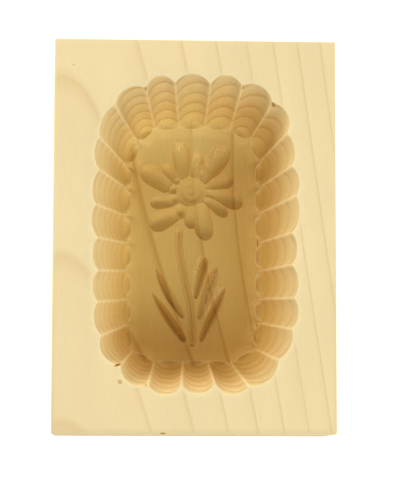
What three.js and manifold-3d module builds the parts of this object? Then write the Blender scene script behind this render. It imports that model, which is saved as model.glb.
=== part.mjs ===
// A butter mould: one block of pale hardwood with an oblong recess carved into its face.
// Gouged scoops side by side make the wall of the recess, and a daisy with a stem and
// five leaves is sunk into its dished floor.
//
// Millimetres. The block lies on its back: X is its width, Y its length and +Z the carved
// face. The origin is the middle of the flat back, and +Y is the end nearer the flower.

import * as THREE from 'three';
import { mergeVertices } from 'three/addons/utils/BufferGeometryUtils.js';
import Module from 'manifold-3d';

const wasm = await Module();
wasm.setup();

// The block.
const BLOCK_LENGTH = 160;
const BLOCK_WIDTH = 114.5;
const BLOCK_THICKNESS = 45;
const CORNER_RADIUS = 0.6;
const ARRIS_BEVEL = 0.6;

// The recess: how far its scalloped rim stays from the edges of the block, and how much
// wood is left under its floor.
const END_MARGIN = 15.3;
const SIDE_MARGIN = 16;
const FLOOR_THICKNESS = 13;

// The scoops along each long side and across each end, and how far each one swells
// past the line through the tops of the ridges beside it.
const SIDE_SCOOPS = 8;
const END_SCOOPS = 5;
const SIDE_SWELL = 2.1;
const END_SWELL = 3.7;
const CORNER_SWELL = 3.4;
const SCOOP_ROUNDNESS = 2.4;

// How far the rim's corner ridges are set in from its side and end lines.
const RIM_CORNER_SET_IN_X = 7.2;
const RIM_CORNER_SET_IN_Y = 8.5;

// How far the wall runs inwards between the rim and the floor.
const SIDE_WALL_RUN = 11.3;
const END_WALL_RUN = 12;
const FLOOR_CORNER_SET_IN_X = 3.4;
const FLOOR_CORNER_SET_IN_Y = 4.9;
const SPOON_END = 0.5;

// The fall of the wall from rim to floor, as a power: 1 is straight, and more is rounder.
const RIDGE_FALL = 1.2;
const SCOOP_FALL = 1.75;

// The dished edge of the floor.
const DISH_WIDTH = 7;
const DISH_RISE = 2;

// The hand-cut daisy: its place, its petals and its middle.
const FLOWER_FROM_FLOOR_END = 26.8;
const PETAL_PAIRS = 6;
const FIRST_PETAL_ANGLE = 107;
const PETAL_TO_WALL = 6.1;
const LONG_PETAL_WIDTH = 8.3;
const LONG_PETAL_DEPTH = 2.3;
const SHORT_PETAL_SHORTER_BY = 5.1;
const SHORT_PETAL_WIDTH = 5.9;
const SHORT_PETAL_DEPTH = 1.7;
const PETAL_START = 4.4;
const PETAL_WIDEST = 0.68;
const FLOWER_MIDDLE_RADIUS = 6.3;
const FLOWER_MIDDLE_DEPTH = 1.7;

// The stem and the leaves. Each point is a distance to the side of the flower's middle and
// a share of the way from there down to the foot of the stem.
const STEM_FOOT_TO_WALL = 6.6;
const STEM_POINTS = [[-5.4, 0.24], [-5.3, 0.48], [-2.8, 0.65], [-0.2, 0.81], [1, 1]];
const STEM_WIDTH = 2.4;
const STEM_DEPTH = 0.9;
const LEAVES = [
  { tip: [-14.9, 0.51], foot: [-3.6, 0.83], width: 3.4, bend: 1.2 },
  { tip: [-16.1, 0.66], foot: [-3.1, 0.98], width: 4.3, bend: 0.9 },
  { tip: [5.5, 0.44], foot: [1.4, 0.7], width: 3.8, bend: 0.5 },
  { tip: [10.6, 0.51], foot: [3.1, 0.83], width: 4.2, bend: 0.6 },
  { tip: [13.5, 0.64], foot: [4, 0.97], width: 4.2, bend: 0.5 },
];
const LEAF_DEPTH = 1.9;

// The carver's hand: how far each ridge wanders from its even place, [x, y] at its top
// and at its foot. Clockwise from the corner at -X, +Y.
const RIDGE_WANDER = [
  [[-0.6, 0.2], [1.9, -1.6]], [[-0.9, -1.2], [-0.7, -1.2]],
  [[-1.9, 1.1], [-0.5, -0.6]], [[-0.2, 0.8], [0.4, -0.1]],
  [[-0.1, 0.3], [1.3, -1.1]], [[-0.4, 1.8], [-0.5, -0.6]],
  [[-1.9, 2.2], [0.2, 1.6]], [[0.1, 2], [0.4, 1.8]],
  [[1.7, 3.1], [0, 1.6]], [[0, 1.1], [0.4, 0.5]],
  [[0, 1.2], [0.4, -0.4]], [[0.8, 1], [0.3, -1.2]],
  [[-0.1, 1.6], [0.3, -0.1]], [[1.7, 2.3], [2.1, 0.1]],
  [[2.6, 0.3], [1.8, -0.9]], [[1.8, 1.4], [2, -0.2]],
  [[1.2, 0.6], [1.4, -0.5]], [[0.6, 0.5], [-0.8, -0.2]],
  [[2.2, -0.1], [0.2, -1]], [[1.7, -1.2], [1.4, -1.3]],
  [[0.4, -0.9], [1, -1.7]], [[0.5, -1.4], [0.9, -0.7]],
  [[0.2, -1.2], [1.2, 0]], [[-0.7, -0.9], [0.8, 0.3]],
  [[0.8, 0], [1.1, 0.8]], [[0.7, 0.1], [1, -1.2]],
];

// How far each petal wanders from its even place: its angle in degrees and its reach.
const PETAL_WANDER = [
  [-4.3, -0.5], [2.8, -0.2], [5.1, 1.5], [0.5, 0.9], [-1.7, -0.9], [7.6, -0.1],
  [0.9, -1], [10, -1.9], [-4.6, 0.3], [1.1, 1.3], [-9.5, 0.9], [4.1, 0],
];

// How finely the round shapes are faceted.
const STEPS_ACROSS_SCOOP = 6;
const STEPS_DOWN_SCOOP = 7;
const STEP_CROWDING = 1.3;
const DISH_STEPS = 4;
const PETAL_SIDES = 14;
const PETAL_STEPS = 9;
const LEAF_SIDES = 8;
const LEAF_STEPS = 8;
const STEM_SIDES = 8;
const STEM_STEPS = 14;
const MIDDLE_SIDES = 28;
const MIDDLE_STEPS = 5;

// How far a cutter stands above the surface that it cuts.
const CUTTER_CLEARANCE = 2;

// Places worked out from the sizes above.
const rimHalfLength = BLOCK_LENGTH / 2 - END_MARGIN - END_SWELL;
const rimHalfWidth = BLOCK_WIDTH / 2 - SIDE_MARGIN - SIDE_SWELL;
const floorHalfLength = rimHalfLength - END_WALL_RUN;
const floorHalfWidth = rimHalfWidth - SIDE_WALL_RUN;
const floorEdgeHeight = FLOOR_THICKNESS + DISH_RISE;
const wallDrop = BLOCK_THICKNESS - floorEdgeHeight;
const flowerY = floorHalfLength - FLOWER_FROM_FLOOR_END;
const longPetalReach = floorHalfWidth - PETAL_TO_WALL;
const shortPetalReach = longPetalReach - SHORT_PETAL_SHORTER_BY;
const stemLength = flowerY + floorHalfLength - STEM_FOOT_TO_WALL;
const scoopCount = 2 * (SIDE_SCOOPS + END_SCOOPS);

function solidFrom(geometry) {
  const bare = geometry.clone();
  bare.deleteAttribute('normal');
  bare.deleteAttribute('uv');
  const merged = mergeVertices(bare);
  return new wasm.Manifold(new wasm.Mesh({
    numProp: 3,
    vertProperties: new Float32Array(merged.attributes.position.array),
    triVerts: new Uint32Array(merged.index.array),
  }));
}

function geometryFrom(solid) {
  const mesh = solid.getMesh();
  const geometry = new THREE.BufferGeometry();
  geometry.setAttribute('position', new THREE.BufferAttribute(mesh.vertProperties, 3));
  geometry.setIndex(new THREE.BufferAttribute(mesh.triVerts, 1));
  geometry.computeVertexNormals();
  return geometry;
}

function blockGeometry() {
  const halfWidth = BLOCK_WIDTH / 2 - ARRIS_BEVEL;
  const halfLength = BLOCK_LENGTH / 2 - ARRIS_BEVEL;
  const outline = new THREE.Shape();
  outline.moveTo(-halfWidth + CORNER_RADIUS, -halfLength);
  outline.lineTo(halfWidth - CORNER_RADIUS, -halfLength);
  outline.quadraticCurveTo(halfWidth, -halfLength, halfWidth, -halfLength + CORNER_RADIUS);
  outline.lineTo(halfWidth, halfLength - CORNER_RADIUS);
  outline.quadraticCurveTo(halfWidth, halfLength, halfWidth - CORNER_RADIUS, halfLength);
  outline.lineTo(-halfWidth + CORNER_RADIUS, halfLength);
  outline.quadraticCurveTo(-halfWidth, halfLength, -halfWidth, halfLength - CORNER_RADIUS);
  outline.lineTo(-halfWidth, -halfLength + CORNER_RADIUS);
  outline.quadraticCurveTo(-halfWidth, -halfLength, -halfWidth + CORNER_RADIUS, -halfLength);
  const geometry = new THREE.ExtrudeGeometry(outline, {
    depth: BLOCK_THICKNESS - 2 * ARRIS_BEVEL,
    bevelThickness: ARRIS_BEVEL,
    bevelSize: ARRIS_BEVEL,
    bevelSegments: 2,
    curveSegments: 4,
  });
  geometry.translate(0, 0, ARRIS_BEVEL);
  return geometry;
}

// The even places of the ridges round an oblong, clockwise from the corner at -X, +Y.
function evenRidges(halfWidth, halfLength, setInX, setInY) {
  const cornerX = halfWidth - setInX;
  const cornerY = halfLength - setInY;
  const endPitch = 2 * cornerX / END_SCOOPS;
  const sidePitch = 2 * cornerY / SIDE_SCOOPS;
  const half = [[-cornerX, cornerY]];
  for (let i = 1; i < END_SCOOPS; i += 1) {
    half.push([-cornerX + i * endPitch, halfLength]);
  }
  half.push([cornerX, cornerY]);
  for (let i = 1; i < SIDE_SCOOPS; i += 1) {
    half.push([halfWidth, cornerY - i * sidePitch]);
  }
  return [...half, ...half.map(([x, y]) => [-x, -y])];
}

function wanderedRidges(places, end) {
  return places.map(([x, y], i) => {
    const [wanderX, wanderY] = RIDGE_WANDER[i % RIDGE_WANDER.length][end];
    return new THREE.Vector2(x + wanderX, y + wanderY);
  });
}

// A scoop at a corner swells more than one in the middle of a long side.
function swellOf(scoop) {
  const place = scoop % (END_SCOOPS + SIDE_SCOOPS);
  if (place === 0 || place === END_SCOOPS - 1 || place === END_SCOOPS) {
    return CORNER_SWELL;
  }
  return place < END_SCOOPS ? END_SWELL : SIDE_SWELL;
}

// How far a scoop has swelled at a place across it: 0 at its two ridges and 1 in between.
function fullnessAt(across) {
  return 1 - Math.abs(2 * across - 1) ** SCOOP_ROUNDNESS;
}

// A point on a line from one ridge to the next, bowed outwards by some distance.
function bowedPoint(ridges, scoop, across, bow) {
  const from = ridges[scoop];
  const to = ridges[(scoop + 1) % ridges.length];
  const along = to.clone().sub(from);
  const outwards = new THREE.Vector2(-along.y, along.x).normalize();
  const point = from.clone().addScaledVector(along, across);
  return point.addScaledVector(outwards, bow * fullnessAt(across));
}

// The lines down the wall of the recess: where each starts at the rim, where it ends at the
// floor, and how round its fall is.
function wallLines() {
  const tops = wanderedRidges(
    evenRidges(rimHalfWidth, rimHalfLength, RIM_CORNER_SET_IN_X, RIM_CORNER_SET_IN_Y), 0);
  const feet = wanderedRidges(
    evenRidges(floorHalfWidth, floorHalfLength, FLOOR_CORNER_SET_IN_X, FLOOR_CORNER_SET_IN_Y), 1);
  const lines = [];
  for (let scoop = 0; scoop < scoopCount; scoop += 1) {
    for (let i = 0; i < STEPS_ACROSS_SCOOP; i += 1) {
      const across = i / STEPS_ACROSS_SCOOP;
      lines.push({
        top: bowedPoint(tops, scoop, across, swellOf(scoop)),
        foot: bowedPoint(feet, scoop, across, -SPOON_END),
        fall: THREE.MathUtils.lerp(RIDGE_FALL, SCOOP_FALL, fullnessAt(across)),
      });
    }
  }
  return lines;
}

function wallRing(lines, down) {
  return lines.map(({ top, foot, fall }) => {
    const place = top.clone().lerp(foot, down);
    const drop = wallDrop * (1 - (1 - down) ** fall);
    return new THREE.Vector3(place.x, place.y, BLOCK_THICKNESS - drop);
  });
}

function dishRing(lines, inset) {
  const width = inset * DISH_WIDTH;
  const height = FLOOR_THICKNESS + DISH_RISE * (1 - inset) ** 2;
  return lines.map(({ foot }) => new THREE.Vector3(
    foot.x * (1 - width / floorHalfWidth), foot.y * (1 - width / floorHalfLength), height));
}

// The hollow inside the recess, from above the face down to the dished floor, in rings.
function recessRings() {
  const lines = wallLines();
  const aboveFace = BLOCK_THICKNESS + CUTTER_CLEARANCE;
  const rings = [lines.map(({ top }) => new THREE.Vector3(top.x, top.y, aboveFace))];
  for (let i = 0; i <= STEPS_DOWN_SCOOP; i += 1) {
    rings.push(wallRing(lines, 1 - (1 - i / STEPS_DOWN_SCOOP) ** STEP_CROWDING));
  }
  for (let i = 1; i <= DISH_STEPS; i += 1) {
    rings.push(dishRing(lines, i / DISH_STEPS));
  }
  return rings;
}

function recessGeometry() {
  const rings = recessRings();
  const count = rings[0].length;
  const corners = rings.flat();
  const triangles = [];
  for (let ring = 0; ring + 1 < rings.length; ring += 1) {
    for (let i = 0; i < count; i += 1) {
      const here = ring * count + i;
      const next = ring * count + (i + 1) % count;
      triangles.push(here, next, here + count, next, next + count, here + count);
    }
  }
  const lid = corners.push(new THREE.Vector3(0, 0, rings[0][0].z)) - 1;
  const bottom = corners.push(new THREE.Vector3(0, 0, FLOOR_THICKNESS)) - 1;
  const last = (rings.length - 1) * count;
  for (let i = 0; i < count; i += 1) {
    const next = (i + 1) % count;
    triangles.push(lid, next, i);
    triangles.push(bottom, last + i, last + next);
  }
  const geometry = new THREE.BufferGeometry().setFromPoints(corners);
  geometry.setIndex(triangles);
  return geometry;
}

// A cutter shaped like half an egg: its thin end at the middle of the flower.
function petalCutter({ angle, reach, width, depth }) {
  const length = reach - PETAL_START;
  const profile = [];
  for (let i = 0; i <= PETAL_STEPS; i += 1) {
    const along = 0.5 - 0.5 * Math.cos(Math.PI * i / PETAL_STEPS);
    const outer = (along - PETAL_WIDEST) / (1 - PETAL_WIDEST);
    const share = along < PETAL_WIDEST
      ? Math.sin(Math.PI / 2 * along / PETAL_WIDEST) ** 0.8
      : Math.sqrt(Math.max(0, 1 - outer * outer));
    profile.push(new THREE.Vector2(share * width / 2, along * length));
  }
  const geometry = new THREE.LatheGeometry(profile, PETAL_SIDES);
  geometry.scale(1, 1, 2 * depth / width);
  geometry.translate(0, PETAL_START, 0);
  geometry.rotateZ(THREE.MathUtils.degToRad(angle - 90));
  geometry.translate(0, flowerY, FLOOR_THICKNESS);
  return geometry;
}

function petalCutters() {
  const cutters = [];
  const step = 180 / PETAL_PAIRS;
  for (let i = 0; i < 2 * PETAL_PAIRS; i += 1) {
    const long = i % 2 === 0;
    const [turn, stretch] = PETAL_WANDER[i % PETAL_WANDER.length];
    cutters.push(petalCutter({
      angle: FIRST_PETAL_ANGLE - i * step + turn,
      reach: (long ? longPetalReach : shortPetalReach) + stretch,
      width: long ? LONG_PETAL_WIDTH : SHORT_PETAL_WIDTH,
      depth: long ? LONG_PETAL_DEPTH : SHORT_PETAL_DEPTH,
    }));
  }
  return cutters;
}

function flowerMiddleCutter() {
  const geometry = new THREE.SphereGeometry(1, MIDDLE_SIDES, 2 * MIDDLE_STEPS);
  geometry.rotateX(Math.PI / 2);
  geometry.scale(FLOWER_MIDDLE_RADIUS, FLOWER_MIDDLE_RADIUS, FLOWER_MIDDLE_DEPTH);
  geometry.translate(0, flowerY, FLOOR_THICKNESS);
  return geometry;
}

// A place beside the stem, from its distance to the side and its share of the way down.
function besideStem([x, share]) {
  return new THREE.Vector3(x, flowerY - share * stemLength, FLOOR_THICKNESS);
}

function stemCutter() {
  const path = new THREE.CatmullRomCurve3(STEM_POINTS.map(besideStem));
  const section = new THREE.Shape();
  for (let i = 0; i < STEM_SIDES; i += 1) {
    const angle = 2 * Math.PI * i / STEM_SIDES;
    const x = STEM_DEPTH * Math.cos(angle);
    const y = STEM_WIDTH / 2 * Math.sin(angle);
    if (i === 0) {
      section.moveTo(x, y);
    } else {
      section.lineTo(x, y);
    }
  }
  return new THREE.ExtrudeGeometry(section, { steps: STEM_STEPS, extrudePath: path });
}

// A cutter with two sharp ends, bent a little to one side.
function leafCutter({ tip, foot, width, bend }) {
  const from = besideStem(foot);
  const to = besideStem(tip);
  const length = from.distanceTo(to);
  const profile = [];
  for (let i = 0; i <= LEAF_STEPS; i += 1) {
    const along = i / LEAF_STEPS;
    profile.push(new THREE.Vector2(width / 2 * Math.sin(Math.PI * along) ** 0.8, along * length));
  }
  const geometry = new THREE.LatheGeometry(profile, LEAF_SIDES);
  geometry.scale(1, 1, 2 * LEAF_DEPTH / width);
  const places = geometry.attributes.position;
  for (let i = 0; i < places.count; i += 1) {
    const along = places.getY(i) / length;
    places.setX(i, places.getX(i) + bend * 4 * along * (1 - along));
  }
  geometry.rotateZ(Math.atan2(to.y - from.y, to.x - from.x) - Math.PI / 2);
  geometry.translate(from.x, from.y, from.z);
  return geometry;
}

function mouldBlock() {
  const cutters = [
    recessGeometry(),
    ...petalCutters(),
    flowerMiddleCutter(),
    stemCutter(),
    ...LEAVES.map(leafCutter),
  ];
  let solid = solidFrom(blockGeometry());
  for (const cutter of cutters) {
    solid = solid.subtract(solidFrom(cutter));
  }
  const maple = new THREE.MeshStandardMaterial({ color: 0xe3c896, roughness: 0.62, metalness: 0 });
  const mesh = new THREE.Mesh(geometryFrom(solid), maple);
  mesh.name = 'mould_block';
  return mesh;
}

const mould = new THREE.Group();
mould.add(mouldBlock());

export default mould;
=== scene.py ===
import math

import bmesh
import bpy
import numpy as np
from bpy.props import FloatProperty, FloatVectorProperty, IntProperty, PointerProperty
from mathutils import Matrix, Vector, geometry


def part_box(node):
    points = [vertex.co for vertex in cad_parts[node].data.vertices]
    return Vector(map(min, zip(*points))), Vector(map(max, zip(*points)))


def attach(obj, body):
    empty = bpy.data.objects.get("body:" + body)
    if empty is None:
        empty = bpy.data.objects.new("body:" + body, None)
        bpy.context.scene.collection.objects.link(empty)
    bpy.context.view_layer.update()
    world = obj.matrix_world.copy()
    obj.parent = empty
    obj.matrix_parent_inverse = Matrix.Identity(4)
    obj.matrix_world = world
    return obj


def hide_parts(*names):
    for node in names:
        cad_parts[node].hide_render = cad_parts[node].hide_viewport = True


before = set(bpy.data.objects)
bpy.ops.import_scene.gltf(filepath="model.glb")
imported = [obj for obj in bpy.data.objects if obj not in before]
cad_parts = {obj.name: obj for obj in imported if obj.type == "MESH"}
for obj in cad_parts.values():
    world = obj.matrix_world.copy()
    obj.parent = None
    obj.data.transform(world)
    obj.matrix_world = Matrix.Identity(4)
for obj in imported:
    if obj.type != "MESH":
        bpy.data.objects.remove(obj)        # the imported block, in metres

bl_info = {
    "name": "Butter mould",
    "version": (1, 0, 0),
    "blender": (4, 5, 0),
    "location": "3D View > Sidebar > Butter mould",
    "description": "Carves a butter mould from one block of maple, with scoops and a sunk daisy",
    "category": "Object",
}

MM = 0.001
BLOCK_LOW, BLOCK_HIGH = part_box("mould_block")
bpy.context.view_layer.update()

# Places on the carving, clockwise from the corner at -X, +Y, as the wood was cut by hand.
# How far each ridge wanders from its even place: [x, y] at its top and at its foot, in mm.
RIDGE_WANDER = [
    [[-0.6, 0.2], [1.9, -1.6]], [[-0.9, -1.2], [-0.7, -1.2]],
    [[-1.9, 1.1], [-0.5, -0.6]], [[-0.2, 0.8], [0.4, -0.1]],
    [[-0.1, 0.3], [1.3, -1.1]], [[-0.4, 1.8], [-0.5, -0.6]],
    [[-1.9, 2.2], [0.2, 1.6]], [[0.1, 2], [0.4, 1.8]],
    [[1.7, 3.1], [0, 1.6]], [[0, 1.1], [0.4, 0.5]],
    [[0, 1.2], [0.4, -0.4]], [[0.8, 1], [0.3, -1.2]],
    [[-0.1, 1.6], [0.3, -0.1]], [[1.7, 2.3], [2.1, 0.1]],
    [[2.6, 0.3], [1.8, -0.9]], [[1.8, 1.4], [2, -0.2]],
    [[1.2, 0.6], [1.4, -0.5]], [[0.6, 0.5], [-0.8, -0.2]],
    [[2.2, -0.1], [0.2, -1]], [[1.7, -1.2], [1.4, -1.3]],
    [[0.4, -0.9], [1, -1.7]], [[0.5, -1.4], [0.9, -0.7]],
    [[0.2, -1.2], [1.2, 0]], [[-0.7, -0.9], [0.8, 0.3]],
    [[0.8, 0], [1.1, 0.8]], [[0.7, 0.1], [1, -1.2]],
]

# How far each scoop's spoon end dips below the edge of the floor, from 0 to 1.
POCKETS = [1, 0.35, 0.6, 0.3, 0.6, 0.5, 0.6, 0.7, 0.6, 0.5, 0.5, 0.3, 0.1,
           0.3, 0.6, 0.4, 0.3, 0.35, 0.3, 0.4, 0.45, 0.6, 0.7, 0.7, 0.6, 0.9]

# How far in from the corners of the rim and of the floor the ridges by them lie.
RIM_CORNER = (7.2 * MM, 8.5 * MM)
FLOOR_CORNER = (3.4 * MM, 4.9 * MM)


def table(names, *values):
    """A dictionary for each row of values."""
    return [dict(zip(names.split(), row)) for row in values]


# The petals, clockwise from the tall one at the top: where each starts and ends, its width,
# how far its middle line bends to the left and its depth, in mm from the flower's middle,
# and its width at the start as a share. The fifth is a short cut into the side of the sixth.
PETALS = table(
    "start tip width bend depth base",
    ((-3.2, 4.6), (-5, 21.1), 7.6, 0, 3, 0.5),
    ((1.1, 4.6), (2.6, 16.3), 5.8, 0, 2, 0.85),
    ((3.5, 3.6), (15, 19.4), 8.4, -0.4, 3.8, 0.5),
    ((5.4, 1.2), (17.7, 5.3), 7, 0.5, 3, 0.15),
    ((5.2, -0.2), (14.2, -2.9), 4.6, 0.2, 2.3, 0.7),
    ((6.6, -0.4), (21.3, -5.9), 8, 1, 3.6, 0.35),
    ((4.8, -2.8), (14.9, -10.4), 5.4, 0.6, 3, 0.5),
    ((3.5, -4.6), (6.3, -20.8), 8, -0.2, 3.3, 0.7),
    ((0.2, -5.9), (-0.2, -15.9), 6, 0, 2.7, 0.75),
    ((-5.4, -9.2), (-17.2, -15.6), 8.2, -0.4, 3.6, 0.6),
    ((-7, -4.3), (-17.4, -5.2), 5.7, 0, 2.9, 0.65),
    ((-8.7, 0.9), (-21, 9.6), 8.6, -0.2, 3.6, 0.65),
    ((-6.2, 4.5), (-12, 11.4), 5.4, 0, 2.8, 0.85),
)

# Small dips between the flower's middle and the petals on its -X side, in mm.
BASE_DIPS = table(
    "place radius depth",
    ((-6.2, 4.6), 2.6, 1.6),
    ((-7.6, 0.8), 2.8, 2),
    ((-7.4, -3.4), 2.7, 2),
    ((-4.7, -8.8), 3.2, 2.6),
)

# The stem's line and the leaves, in mm from the flower's middle. A leaf starts at its foot.
# Its crease lies to one side of its middle line, its width at the foot is a share of its
# widest, its tip is pointed at 1 and round at 0.5, and its section is two straight slopes
# at 1 and rounder below.
STEM = [(-5.1, -15.4), (-5.3, -23.5), (-3.7, -33), (-2.2, -40.5), (-0.7, -46.5), (0.1, -54),
        (0.6, -63.5)]
LEAVES = table(
    "tip start width bend crease foot_share widest tip_shape depth section",
    ((-15.1, -32.3), (-3.1, -53.4), 4.3, 0.5, -0.5, 0.5, 0.5, 1, 2.6, 1),
    ((-16.8, -42.3), (-2.6, -63.3), 4.3, 0.3, -0.15, 0.7, 0.45, 1, 3, 1),
    ((6.0, -27.9), (1.6, -45.4), 3.9, 0, 0.1, 0.5, 0.8, 0.6, 2.6, 0.8),
    ((10.9, -31.8), (3.3, -54.1), 4.8, 0.3, 0, 0.45, 0.65, 0.5, 2.3, 0.7),
    ((14.3, -40.4), (3.9, -63.4), 4.4, 0, 0.05, 0.5, 0.55, 0.9, 2.9, 0.9),
)

# Where the cutting edge tore the grain: the torn line and how far the tearing reaches from
# it, in mm from the flower's middle, with the size of the torn fibres across and along the
# grain and how rough they are.
TORN_GRAIN = table(
    "line reach fibre rough",
    (((-6.7, 19.7), (-4.1, 17.4)), 1.8, (0.5, 2.4), 0.2),
    (((2.2, 15.2), (4.4, 7.4)), 2.6, (0.5, 2.8), 0.3),
    (((6.2, 12.4), (10.2, 18.4)), 1.6, (0.5, 1.6), 0.25),
    (((3.6, -28.2), (1.6, -35.2)), 0.9, (1.4, 0.6), 0.32),
    (((10.1, -34), (5.2, -48.5)), 1.8, (0.8, 0.6), 0.28),
    (((12.6, -41), (6.6, -50.4)), 1.2, (1.2, 0.6), 0.32),
    (((24, 8), (26.5, -22), (26.4, -58)), 3, (0.45, 0.8), 0.05),
)

# Nicks and pin knots: where each lies on the block, its half width and half length in mm,
# how far it is turned in degrees and how dark it is.
MARKS = table(
    "place half turn dark",
    ((-20.1, 59.6, 45), (0.4, 0.9), 10, 0.5),
    ((19.6, 60.6, 45), (0.4, 0.7), 0, 0.45),
    ((31.8, 53.8, 45), (0.6, 1.0), 40, 0.6),
    ((-30.4, -52.3, 45), (1.7, 0.5), 25, 0.95),
    ((-29.8, -59.3, 45), (0.8, 0.9), 30, 0.36),
    ((-19.4, -60.5, 45), (0.4, 0.8), 0, 0.35),
    ((-49.4, 69.1, 45), (0.3, 0.6), 60, 0.25),
    ((-12.6, -79.8, 45), (1.1, 0.4), 0, 0.7),
    ((27.6, 0.1, 14.5), (0.25, 2.0), 0, 0.45),
    ((27.3, -34.3, 14), (0.4, 0.9), 20, 0.35),
    ((0.4, -42.6, 12.6), (1.1, 0.6), 0, 0.4),
    ((-8.9, -24.5, 12), (0.7, 2.6), 40, 0.12),
)


# The settings, each with what it is and its value.
SIZES = {
    "arris_bevel": ("Width of the eased edges of the block", 0.6 * MM),
    "lip": ("Radius of the eased rim of the recess", 0.5 * MM),
    "end_margin": ("Flat wood between the recess and each end of the block", 15.3 * MM),
    "side_margin": ("Flat wood between the recess and each side of the block", 16 * MM),
    "floor_thickness": ("Wood left under the floor of the recess", 13 * MM),
    "side_swell": ("How far a scoop in a long side swells past its ridges", 2.1 * MM),
    "end_swell": ("How far a scoop in an end swells past its ridges", 3.7 * MM),
    "corner_swell": ("How far a scoop at a corner swells past its ridges", 3.4 * MM),
    "side_wall_run": ("How far the side walls run inwards down to the floor", 11.3 * MM),
    "end_wall_run": ("How far the end walls run inwards down to the floor", 12 * MM),
    "side_spoon_end": ("How far a side scoop's foot reaches onto the floor", 1.5 * MM),
    "end_spoon_end": ("How far an end scoop's foot reaches onto the floor", 0.3 * MM),
    "dish_width": ("Width of the rising edge of the floor", 4.4 * MM),
    "dish_rise": ("Rise of the floor at its edge", 2.4 * MM),
    "flower_from_end": ("From the floor's upper end to the flower's middle", 26.8 * MM),
    "flower_middle": ("Radius of the bowl in the middle of the flower", 6.6 * MM),
    "bowl_depth": ("Depth of the bowl in the middle of the flower", 2.7 * MM),
    "stem_width": ("Width of the stem's groove", 3.4 * MM),
    "stem_depth": ("Depth of the stem's groove", 1.6 * MM),
}
COUNTS = {
    "side_scoops": ("Scoops along each long side", 8),
    "end_scoops": ("Scoops across each end", 5),
    "seed": ("Seed of the torn grain", 4),
}
COLOURS = {
    "face_colour": ("Colour of the sanded outside", (0.96, 0.77, 0.415)),
    "end_colour": ("Colour of the end grain outside", (0.62, 0.43, 0.18)),
    "rim_colour": ("Colour of the cut wood near the rim", (0.83, 0.65, 0.32)),
    "floor_colour": ("Colour of the deepest cut wood", (0.785, 0.535, 0.161)),
    # Painted shade in the bottoms of the leaves and along the stem's middle and edges.
    "stain_colour": ("Tint of the bottoms of the leaves and the stem", (0.77, 0.56, 0.28)),
    # Painted shade on the deep cut wood towards +X and -Y, and painted light on it towards +Y.
    "heart_colour": ("Tint of the deep cut wood towards +X and -Y", (0.92, 0.835, 0.74)),
    "sap_colour": ("Tint of the deep cut wood towards +Y", (1.1, 1.2, 1.42)),
    "torn_colour": ("Colour of the torn fibres", (0.93, 0.70, 0.30)),
    "fleck_colour": ("Colour of the small flecks along the grain", (0.62, 0.42, 0.2)),
    "mark_colour": ("Tint of the nicks and pin knots", (0.60, 0.42, 0.12)),
    "ring_colour": ("Tint of the thin dark line that ends a ring", (0.73, 0.57, 0.34)),
    # Painted highlight on the outward edges, the ridges and the rim of the recess, fainter deeper
    # down.
    "arris_colour": ("Colour of the light, burnished edges", (1.0, 0.84, 0.45)),
}
RING_SIZES = {"ring_spacing": ("Distance from one growth ring to the next", 5.82 * MM)}
STAGE_COLOURS = {"floor_colour": ("Colour of the floor", (0.9, 0.9, 0.9))}
POWERS = {
    "upper_right_lamp": ("Power of the lamp past the upper right corner", 6.9),
    "upper_left_lamp": ("Power of the lamp past the upper left corner", 10.2),
    "lower_right_lamp": ("Power of the lamp by the lower right corner", 2.9),
    "front_lamp": ("Power of the lamp at the front", 4.6),
}
STRENGTHS = {"sky": ("Strength of the even white light from all round", 0.43)}


def settings(rows, kind, **limits):
    """A property for each row, labelled with the row's own name."""
    made = {}
    for name, (description, value) in rows.items():
        label = name.replace("_", " ").capitalize()
        made[name] = kind(name=label, description=description, default=value, **limits)
    return made


def lengths(rows):
    return settings(rows, FloatProperty, unit="LENGTH", subtype="DISTANCE")


def colours(rows):
    return settings(rows, FloatVectorProperty, subtype="COLOR", min=0, max=2)


class MouldShape(bpy.types.PropertyGroup):
    """Sizes of the carving."""

    __annotations__ = lengths(SIZES) | settings(COUNTS, IntProperty, min=1)


class MapleFinish(bpy.types.PropertyGroup):
    """Colours of the bare maple and the spacing of its growth rings."""

    __annotations__ = colours(COLOURS) | lengths(RING_SIZES)


class StudioStage(bpy.types.PropertyGroup):
    """The floor and the lamps."""

    __annotations__ = {
        **colours(STAGE_COLOURS),
        **settings(POWERS, FloatProperty, min=0, unit="POWER"),
        **settings(STRENGTHS, FloatProperty, min=0),
    }


def node_sum(operation, swapped=False):
    """A sum with a Number, which adds the node that does it."""

    def add_node(number, other):
        values = (other, number) if swapped else (number, other)
        return number.wire.math(operation, *values)

    return add_node


class Number:
    """A value in a node tree that can be used in sums."""

    __add__ = node_sum("ADD")
    __radd__ = node_sum("ADD", swapped=True)
    __sub__ = node_sum("SUBTRACT")
    __rsub__ = node_sum("SUBTRACT", swapped=True)
    __mul__ = node_sum("MULTIPLY")
    __rmul__ = node_sum("MULTIPLY", swapped=True)
    __truediv__ = node_sum("DIVIDE")
    __pow__ = node_sum("POWER")

    def __init__(self, wire, socket):
        self.wire = wire
        self.socket = socket


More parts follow.
